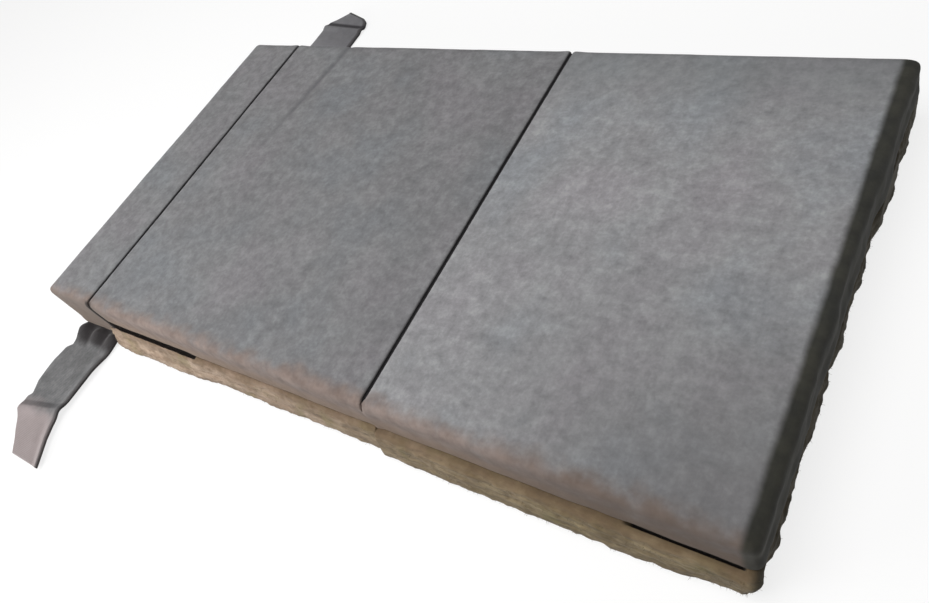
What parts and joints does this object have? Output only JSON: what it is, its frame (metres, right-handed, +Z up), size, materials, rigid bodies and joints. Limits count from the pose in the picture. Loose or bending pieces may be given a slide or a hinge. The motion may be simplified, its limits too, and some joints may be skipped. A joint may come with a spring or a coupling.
{
  "type": "folding fire blanket",
  "caption": "Thick padded fire blanket in panels that fold on cloth hinges, grey felt above fibre mats, with a cloth strap under its closing strip.",
  "frame": {"origin": "on the floor, at the centre of the opened blanket without its strap tails; the point lies on the middle mat's underside", "axes": "+X from the closing strip over the middle panel to the flap, +Y to the back, +Z up from the mats to the grey covers"},
  "size_m": [1.002, 0.9286, 0.085],
  "materials": {
    "cover_cloth": "brushed matt felt, mottled grey",
    "backing_cloth": "plain woven, matt",
    "wool_core": "loose mineral wool",
    "fibre_mat": "needled fibre mat, ragged cut edges",
    "foil_barrier": "dull foil on cloth",
    "bond_tape": "matt adhesive tape",
    "hinge_cloth": "close woven, matt",
    "thread": "twisted glass thread",
    "strap_cloth": "soft matt webbing"
  },
  "bodies": {
    "middle": {"middle_cover": "cover_cloth", "middle_core": "wool_core", "middle_backing_sheet": "backing_cloth", "middle_rim_stitching": "thread", "middle_base_mat": "fibre_mat", "middle_heat_barrier": "foil_barrier", "middle_front_bond_tape": "bond_tape", "middle_back_bond_tape": "bond_tape", "middle_strip_hinge_leaf": "hinge_cloth", "middle_strip_hinge_leaf_stitching": "thread", "middle_flap_hinge_leaf": "hinge_cloth", "middle_flap_hinge_leaf_stitching": "thread"},
    "flap": {"flap_cover": "cover_cloth", "flap_core": "wool_core", "flap_backing_sheet": "backing_cloth", "flap_rim_stitching": "thread", "flap_base_mat": "fibre_mat", "flap_heat_barrier": "foil_barrier", "flap_front_bond_tape": "bond_tape", "flap_back_bond_tape": "bond_tape", "flap_end_bond_tape": "bond_tape", "flap_hinge_leaf": "hinge_cloth", "flap_hinge_leaf_stitching": "thread"},
    "strip": {"strip_cover": "cover_cloth", "strip_core": "wool_core", "strip_backing_sheet": "backing_cloth", "strip_rim_stitching": "thread", "strip_hinge_leaf": "hinge_cloth", "strip_hinge_leaf_stitching": "thread", "strap_run": "strap_cloth", "strap_left_stitching": "thread", "strap_right_stitching": "thread", "strap_front_bar_tack": "thread", "strap_back_bar_tack": "thread"},
    "front_tail": {"strap_front_tail": "strap_cloth"},
    "back_tail": {"strap_back_tail": "strap_cloth"}
  },
  "joints": [
    {"name": "flap_fold", "type": "hinge", "parent": "middle", "child": "flap", "pos_m": [0.112, 0, 0.086], "axis": [0, -1, 0], "range_deg": [0, 179.5]},
    {"name": "strip_fold", "type": "hinge", "parent": "middle", "child": "strip", "pos_m": [-0.391, 0, 0.086], "axis": [0, 1, 0], "range_deg": [0, 179.5]},
    {"name": "front_tail_lift", "type": "hinge", "parent": "strip", "child": "front_tail", "pos_m": [-0.4465, -0.286, 0.003], "axis": [-1, 0, 0], "range_deg": [0, 88]},
    {"name": "back_tail_lift", "type": "hinge", "parent": "strip", "child": "back_tail", "pos_m": [-0.4465, 0.286, 0.003], "axis": [1, 0, 0], "range_deg": [0, 88]}
  ]
}
